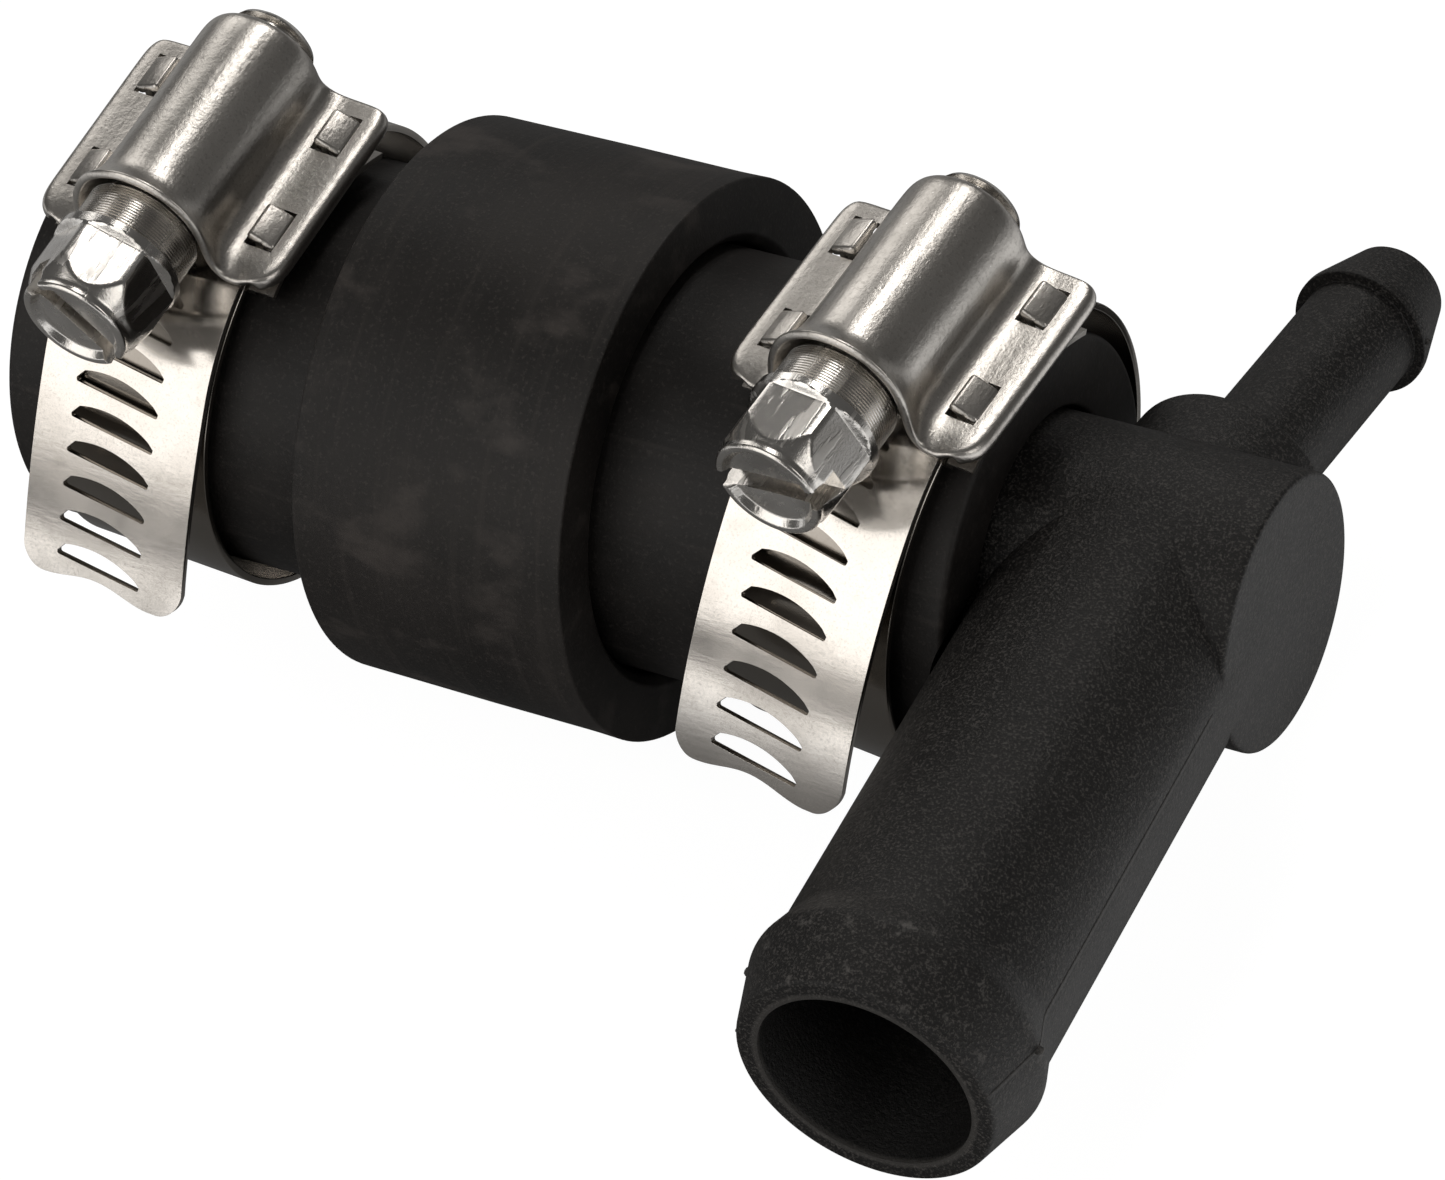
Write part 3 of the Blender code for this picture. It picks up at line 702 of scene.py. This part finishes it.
def makeBand(name, path, slotRuns, bow, pose):  # a flat strip, cut and softened, then bent along its path
    length = path[-1][0]
    startFresh()
    bpy.ops.mesh.primitive_cube_add(size=1, location=(0, length / 2 * mm, 0))
    strip = bpy.context.object
    strip.name = name
    strip.scale = (2 * clamp["half"] * mm, length * mm, clamp["thick"] * mm)
    settle(strip)
    tools = [outlineTool("slot", slotLine(), run) for run in slotRuns]
    if bow is not None:
        tools.append(outlineTool("end", tailEndLine(), length))
    carve(strip, joinPieces(tools, "slots"))
    finishMesh(strip)
    softEdges(strip, clamp["edge"], 2, 40)
    makeActive(strip)
    bpy.ops.object.mode_set(mode="EDIT")
    stations = max(8, round(length / clamp["station"]))
    for step in range(1, stations):
        bpy.ops.mesh.select_all(action="SELECT")
        bpy.ops.mesh.bisect(plane_co=(0, length * step / stations * mm, 0), plane_no=(0, 1, 0))
    for across in clamp["columns"]:
        bpy.ops.mesh.select_all(action="SELECT")
        bpy.ops.mesh.bisect(plane_co=(across * mm, 0, 0), plane_no=(1, 0, 0))
    bpy.ops.object.mode_set(mode="OBJECT")
    smoothBy(strip, 50)
    shape = strip.data
    flatNormals = crispNormals(shape)
    turn = pose.to_3x3()
    frames = {}
    for vertex in shape.vertices:
        spot, heading = pathSpot(path, vertex.co.y / mm)
        normal = Vector((heading.y, -heading.x))
        frames[vertex.index] = (Vector((0, *heading)), Vector((0, *normal)))
        side = spot + normal * (vertex.co.z / mm)
        vertex.co = pose @ (Vector((-vertex.co.x / mm, *side)) * mm)
    bent = []
    for loop, flat in zip(shape.loops, flatNormals):
        heading, normal = frames[loop.vertex_index]
        if bow:  # a slight bow of the free strip, seen only in its reflections
            lean = math.radians(bow)
            flatHeading, flatNormal = heading, normal
            heading = flatHeading * math.cos(lean) - flatNormal * math.sin(lean)
            normal = flatNormal * math.cos(lean) + flatHeading * math.sin(lean)
        bent.append(turn @ (Vector((-flat.x, 0, 0)) + heading * flat.y + normal * flat.z))
    shape.normals_split_custom_set(bent)
    return strip


def housingHalf(arch, foot, reach, drop):  # right half of the outer line, from the arch's top to the rim
    line = []
    for step in range(7):
        turn = math.radians(90 - 15 * step)
        line.append((arch * math.cos(turn), housing["screwZ"] - drop + arch * math.sin(turn)))
    line += [
        (arch + 0.06, 18.75 - drop * 0.4), (arch + 0.26 + foot * 0.4, 18.15), (arch + 0.75 + foot, 17.76),
        (arch + 1.5 + foot, 17.62), (7.0, 17.58), (reach - 0.8, 17.55), (reach - 0.22, 17.3), (reach, 16.4),
    ]
    return line


def makeHousing(side, pose):
    arch, half, front, rear = housing["arch"], housing["half"], housing["front"], housing["rear"]
    plan = [  # along, arch radius, foot, reach and drop, from the front lip to the rear
        (front - 0.42, arch + 0.95, 0.0, half - 1.4, -0.02), (front - 0.2, arch + 0.85, 0.02, half - 0.9, 0),
        (front + 0.2, arch + 0.55, 0.1, half - 0.45, 0), (front + 0.9, arch + 0.2, 0.2, half - 0.12, 0),
        (front + 1.7, arch + 0.04, 0.25, half, 0), (-3.0, arch, 0.25, half, 0), (0.0, arch, 0.25, half, 0),
        (3.0, arch, 0.25, half, 0), (rear - 2.4, arch, 0.25, half, 0),
        (rear - 1.2, arch, 0.25, half - 0.03, 0.02), (rear - 0.5, arch - 0.1, 0.28, half - 0.2, 0.06),
        (rear, arch - 0.35, 0.3, half - 0.6, 0.2),
    ]
    curl = housing["curl"]
    count = 28
    startFresh()
    bpy.ops.mesh.primitive_grid_add(x_subdivisions=count, y_subdivisions=len(plan) - 1, size=1)
    piece = bpy.context.object
    piece.name = side + "Housing"
    rows = []
    for along, archNow, foot, reach, drop in plan:
        line = housingHalf(archNow, foot, reach, drop)
        mirrored = [(-across, high) for across, high in reversed(line[1:])]
        rows.append((along, mirrored + line))
    for vertex in piece.data.vertices:
        column = round((vertex.co.x + 0.5) * count)
        row = round((vertex.co.y + 0.5) * (len(plan) - 1))
        along, line = rows[row]
        across, high = line[column]
        beside = math.exp(-((abs(across) - curl["across"]) / curl["width"]) ** 2)
        roll = max(0, 1 - row / curl["rows"]) * beside  # front lip rolled down beside the mouth
        vertex.co = Vector((across, along - curl["forward"] * roll, high - curl["down"] * roll)) * mm
    makeActive(piece)
    wall = piece.modifiers.new("wall", "SOLIDIFY")
    wall.thickness = housing["sheet"] * mm
    wall.offset = -1
    wall.use_even_offset = True
    bpy.ops.object.modifier_apply(modifier=wall.name)
    fine = piece.modifiers.new("fine", "SUBSURF")
    fine.levels = 2
    fine.render_levels = 2
    bpy.ops.object.modifier_apply(modifier=fine.name)
    tools = []
    wide, spare, deep = housing["slot"]
    for across in (-1, 1):
        for middle in housing["tabs"]:
            place = Vector((across * (housing["tabIn"] + housing["tabOut"]), middle, housing["flangeZ"]))
            bpy.ops.mesh.primitive_cube_add(size=1, location=place * mm)
            tool = bpy.context.object
            tool.scale = (wide * mm, (2 * housing["tabHalf"] + spare) * mm, deep * mm)
            settle(tool)
            tools.append(tool)
    carve(piece, joinPieces(tools, "slots"))
    settle(piece, pose)
    smoothBy(piece, 40)
    return piece


def makeSaddle(side, pose):
    outer = clamp["loopRadius"] - clamp["gap"]
    first, last = saddle["span"]
    half, rise = saddle["half"], saddle["rise"]
    line = [(0, 0), (3, 0), (clamp["half"] + 0.15, 0), (housing["tabIn"], rise), (7.6, rise), (half, rise)]
    line = [(-across, lift) for across, lift in reversed(line[1:])] + line
    rows = 24
    startFresh()
    bpy.ops.mesh.primitive_grid_add(x_subdivisions=len(line) - 1, y_subdivisions=rows, size=1)
    plate = bpy.context.object
    for vertex in plate.data.vertices:
        across, lift = line[round((vertex.co.x + 0.5) * (len(line) - 1))]
        degrees = first + (last - first) * round((vertex.co.y + 0.5) * rows) / rows
        spot = ringSpot(outer + lift, degrees)
        vertex.co = Vector((across, spot.x, spot.y)) * mm
    makeActive(plate)
    wall = plate.modifiers.new("wall", "SOLIDIFY")
    wall.thickness = saddle["thick"] * mm
    wall.offset = -1
    bpy.ops.object.modifier_apply(modifier=wall.name)
    finishMesh(plate)
    pieces = [plate]
    middleRadius = outer - saddle["thick"] / 2 + rise
    for across in (-1, 1):
        for middle in housing["tabs"]:
            low = math.sqrt(middleRadius**2 - (abs(middle) + housing["tabHalf"]) ** 2)
            high = housing["flangeZ"] + saddle["tabRise"]
            startFresh()
            bpy.ops.mesh.primitive_cube_add(size=1)
            leg = bpy.context.object
            leg.scale = (saddle["leg"] * mm, 2 * housing["tabHalf"] * mm, (high - low) * mm)
            out = across * (housing["tabIn"] + housing["tabOut"])
            leg.location = Vector((out, middle, (high + low) / 2)) * mm
            settle(leg)
            startFresh()
            bpy.ops.mesh.primitive_cube_add(size=1)
            pad = bpy.context.object
            wide, thick = saddle["pad"]
            pad.scale = (wide * mm, 2 * housing["tabHalf"] * mm, thick * mm)
            out = across * (housing["tabIn"] + saddle["padOut"])
            pad.location = Vector((out, middle, high - saddle["padDrop"])) * mm
            pad.rotation_euler = (0, across * math.radians(saddle["padTilt"]), 0)
            settle(pad)
            softEdges(pad, 0.3, 4)
            pieces += [leg, pad]
    piece = joinPieces(pieces, side + "Saddle")
    settle(piece, pose)
    smoothBy(piece, 35)
    return piece


def makeHead(turn):  # a turned blank, its flats milled in, with a dished face; makeScrew cuts the slot
    start, face, flat = screw["head"], screw["face"], screw["across"] / 2
    corner = flat / math.cos(math.radians(30))
    blank = corner - screw["blank"]
    rings = [(start, corner - 0.7), (start - 0.03, corner - 0.14)]
    rings += [(start - 0.11, blank), (start - 0.55, blank)]
    rings += [(start - 0.6 - 0.1 * step, blank) for step in range(5)]
    rings += [(start - 1.15 - 0.3 * step, blank) for step in range(4)]
    for step in range(19):  # barrel towards the face, down to a shallow waist
        share = step / 18
        rings.append((face + 2.5 - 1.75 * share, blank - 0.68 * share**1.2))
    rings += softLine([
        (face + 0.65, 3.84, 0), (face + 0.45, 3.82, 0.1), (face + 0.2, 3.86, 0.1), (face, 3.7, 0.12),
        (face, 3.3, 0.1), (face + 0.5, 2.9, 0.15), (face + 0.55, 0.6, 0),
    ])
    head = turnRings("head", rings, 120, True)
    for vertex in head.data.vertices:
        along, radius = vertex.co.x / mm, math.hypot(vertex.co.y, vertex.co.z) / mm
        if face + 0.7 < along < start - 0.57:
            angle = math.degrees(math.atan2(vertex.co.y, vertex.co.z))
            milled = flat / math.cos(math.radians((angle + 390) % 60 - 30))
            milled += 1.6 * max(0, along - start + 1.0)  # the cutter runs out towards the neck
            shrink = min(1, milled / radius)
            vertex.co = Vector((vertex.co.x, vertex.co.y * shrink, vertex.co.z * shrink))
    settle(head, Matrix.Rotation(math.radians(turn), 4, "X"))
    return head


def makeScrew(side, pose):
    neck, face, core = screw["neck"], screw["face"], screw["core"]
    head = makeHead(sides[side]["hexTurn"])
    startFresh()
    bpy.ops.mesh.primitive_cube_add(size=1, location=((face + 0.2) * mm, 0, 0))
    slot = bpy.context.object
    slot.scale = (screw["slotLength"] * mm, 14 * mm, screw["slot"] * mm)
    slot.rotation_euler = (math.radians(-sides[side]["slotTurn"]), 0, 0)
    settle(slot)
    carve(head, slot)
    finishMesh(head)
    softEdges(head, screw["edge"], 2, 50)
    rear, start, deep = housing["rear"], screw["neckStart"], neck - screw["grooveDepth"]
    rings = [(rear + 1.5, 2.2), (rear + 1.45, 2.6), (rear + 1.2, 2.95), (rear + 0.9, 3.1)]  # riveted end
    rings += [(rear + 0.75, 2.7), (rear + 0.4, 2.7), (rear + 0.25, 3.1), (rear - 0.7, 3.1)]
    rings += [(rear - 0.9, core), (start + 0.1, core)]
    rings += [(start, neck - 0.4), (start - 0.4, neck - 0.2), (start - 0.65, neck - 0.05)]  # clears the band
    for step in range(screw["grooves"]):  # turned grooves round the neck
        along = start - 0.75 - screw["groove"] * step
        rings += [(along, neck), (along - 0.09, neck), (along - 0.13, deep), (along - 0.18, deep)]
    rings += [(screw["head"] + 0.03, neck - 0.02), (screw["head"] - 0.05, neck - 0.5)]
    shank = turnRings("shank", rings, 96, True)
    turns, pitch, steps = screw["threadTurns"], screw["threadPitch"], 12
    startFresh()
    bpy.ops.mesh.primitive_grid_add(x_subdivisions=36, y_subdivisions=turns * steps, size=1)
    worm = bpy.context.object  # a grid wrapped round the core, its rows rising into a thread
    length = pitch * turns
    for vertex in worm.data.vertices:
        share = vertex.co.y + 0.5
        turn = 2 * math.pi * (vertex.co.x + 0.5)
        along = screw["threadStart"] + length * share
        phase = math.fmod(along / pitch - turn / (2 * math.pi) + 20, 1.0)
        wave = min(1, max(0, 0.8 * math.cos(2 * math.pi * phase) + 0.5))
        ends = min(1, share * 8, (1 - share) * 8)
        radius = core - 0.05 + (screw["thread"] - core) * wave * ends
        vertex.co = Vector((along, radius * math.cos(turn), radius * math.sin(turn))) * mm
    finishMesh(worm)
    piece = joinPieces([head, shank, worm], side + "Screw")
    quarter = Matrix.Rotation(math.pi / 2, 4, "Z")
    settle(piece, pose @ Matrix.Translation((0, 0, housing["screwZ"] * mm)) @ quarter)
    smoothBy(piece, 28)
    return piece


def makeClamp(side, finishes):
    pose = clampPose(side)
    path = loopPath()
    run = path[-1][0] - 2.0 - clamp["pitch"] / 2
    slotRuns = [run - clamp["pitch"] * step for step in range(clamp["loopSlots"])]
    loop = makeBand(side + "BandLoop", path, slotRuns, None, pose)
    dress(loop, side + "_clamp", side + "_band_loop", finishes["loop"])
    path = tailPath(*sides[side]["tail"])
    slotRuns = []
    run = path[-1][0] - clamp["lastSlot"]
    while run > 3:
        slotRuns.append(run)
        run -= clamp["pitch"]
    tail = makeBand(side + "BandTail", path, slotRuns, sides[side]["bow"], pose)
    dress(tail, side + "_tail", side + "_band_tail", finishes["tail"])
    dress(makeHousing(side, pose), side + "_clamp", side + "_housing", finishes["housing"])
    dress(makeSaddle(side, pose), side + "_clamp", side + "_saddle", finishes["housing"])
    dress(makeScrew(side, pose), side + "_worm", side + "_screw", finishes["screw"])
    print(side, "clamp made")


# studio: floor, lamps and the camera

studio = {  # the camera in millimetres, the floor and lamps in metres
    "azimuth": 35.82, "elevation": 44.45, "roll": -11.67, "distance": 480.04, "right": 1.262, "up": -8.555,
    "lens": 180.57, "aim": (45.6, 0, 0), "lampAim": (0.045, 0, 0.005), "lampTint": (1, 0.975, 0.945),
    "floorSize": 6, "floorSpot": (0.045, 0, -0.0193), "paper": (0.82, 0.82, 0.82, 1), "paperRough": 0.9,
    "floorGlow": 0.85, "floorSeen": 1.13, "floorFar": 0.9, "floorNear": 0.07, "dimReach": (0.09, 0.25),
    "discReach": (0.086, 0.104), "discGlow": 1.25, "rearReach": (0.0, 0.15), "rearDim": 0.7,
    "skyTint": (1, 0.985, 0.965, 1), "skyFill": 0.28, "skyMirrored": 0.08,
}
lamps = {  # soft boxes: where from, how far, how large, how bright
    "archBox": {"from": (-0.02, 0.58, 0.81), "distance": 0.55, "size": (0.11, 0.40), "bright": 5.4},
    "leftBox": {"from": (-0.64, 0.56, 0.53), "distance": 0.60, "size": (0.24, 0.30), "bright": 1.6},
    "bandBox": {"from": (-0.36, -0.76, 0.53), "distance": 0.55, "size": (0.55, 0.48), "bright": 1.5},
    "tableBox": {"from": (-0.42, -0.90, -0.08), "distance": 0.50, "size": (0.60, 0.10), "bright": 1.0},
    "discBox": {"from": (0.84, -0.30, 0.44), "distance": 0.60, "size": (0.24, 0.34), "bright": 1.6},
}


def raysOf(tree):  # rays straight from the camera, and rays off metal or through glass
    names = ("Is Camera Ray", "Is Glossy Ray", "Is Transmission Ray")
    seen, glossy, through = (addNode(tree, "ShaderNodeLightPath", out=name) for name in names)
    return seen, glossy.maths("MAXIMUM", glossy, through)


def makeCamera():
    azimuth, elevation = math.radians(studio["azimuth"]), math.radians(studio["elevation"])
    level = math.cos(elevation)
    back = Vector((math.sin(azimuth) * level, -math.cos(azimuth) * level, math.sin(elevation)))
    flat = (-back).cross(Vector((0, 0, 1))).normalized()
    rise = flat.cross(-back)
    roll = math.radians(studio["roll"])
    right = flat * math.cos(roll) + rise * math.sin(roll)
    up = rise * math.cos(roll) - flat * math.sin(roll)
    spot = Vector(studio["aim"]) + back * studio["distance"] + right * studio["right"] + up * studio["up"]
    startFresh()
    bpy.ops.object.camera_add()
    camera = bpy.context.object
    turn = Matrix((right, up, back)).transposed().to_4x4()
    camera.matrix_world = Matrix.Translation(spot * mm) @ turn
    camera.data.sensor_fit = "HORIZONTAL"
    camera.data.sensor_width = 36
    camera.data.lens = studio["lens"]
    camera.data.clip_start = 0.01
    bpy.context.scene.camera = camera


def makeFloor():  # white to the camera; in reflections dim near the part and light further out
    startFresh()
    bpy.ops.mesh.primitive_plane_add(size=studio["floorSize"], location=studio["floorSpot"])
    floor = bpy.context.object
    floor.name = "floor"
    paper = Finish("white paper")
    seen, mirrored = raysOf(paper.tree)
    place = paper.node("ShaderNodeNewGeometry", out="Position")
    away = paper.between("DISTANCE", place, studio["floorSpot"], out="Value")
    disc = paper.axis(place, "X").band(*studio["discReach"])  # light beside the end disc too
    rear = paper.axis(place, "Y").band(*studio["rearReach"])
    lit = away.band(*studio["dimReach"]) * (1 - rear * studio["rearDim"])
    lit = disc.maths("MAXIMUM", disc * (studio["discGlow"] - rear), lit)
    lit = lit * (studio["floorFar"] - studio["floorNear"]) + studio["floorNear"]
    glow = paper.node("ShaderNodeEmission", Strength=seen * studio["floorSeen"] + mirrored * lit)
    paper.set(Base_Color=studio["paper"], Roughness=studio["paperRough"])
    surface = paper.node(
        "ShaderNodeMixShader", Fac=(seen + mirrored) * studio["floorGlow"],
        s1=Value(paper.tree, paper.shader.outputs[0]), s2=glow,
    )
    plug(paper.tree, surface, paper.tree.nodes["Material Output"].inputs["Surface"])
    floor.data.materials.append(paper.material)


def makeLight():
    world = bpy.data.worlds.new("studio")
    bpy.context.scene.world = world
    world.use_nodes = True
    sky = world.node_tree.nodes["Background"]
    sky.inputs["Color"].default_value = studio["skyTint"]
    seen, mirrored = raysOf(world.node_tree)
    fill = studio["skyFill"]
    strength = fill + seen * (1 - fill) + mirrored * (studio["skyMirrored"] - fill)
    plug(world.node_tree, strength, sky.inputs["Strength"])
    aim = Vector(studio["lampAim"])
    for name, lamp in lamps.items():
        towards = Vector(lamp["from"]).normalized()
        bpy.ops.object.light_add(type="AREA", location=aim + towards * lamp["distance"])
        made = bpy.context.object
        made.name = name
        made.rotation_euler = towards.to_track_quat("Z", "Y").to_euler()
        made.data.shape = "RECTANGLE"
        wide, high = lamp["size"]
        made.data.size, made.data.size_y = wide, high
        made.data.energy = lamp["bright"] * math.pi * wide * high
        made.data.color = studio["lampTint"]


makeSleeve()
makeCollar()
makeFitting()
steelFinishes = {
    # the loop carries painted shade on its front under the tail; the tail carries none
    "loop": bandSteelFinish("loop steel", 0.75), "tail": bandSteelFinish("tail steel", 0.0),
    "housing": housingSteelFinish(), "screw": screwSteelFinish(),
}
for side in sides:
    makeClamp(side, steelFinishes)
makeCamera()
makeFloor()
makeLight()
bpy.context.scene.view_settings.view_transform = "Standard"
print("studio made")
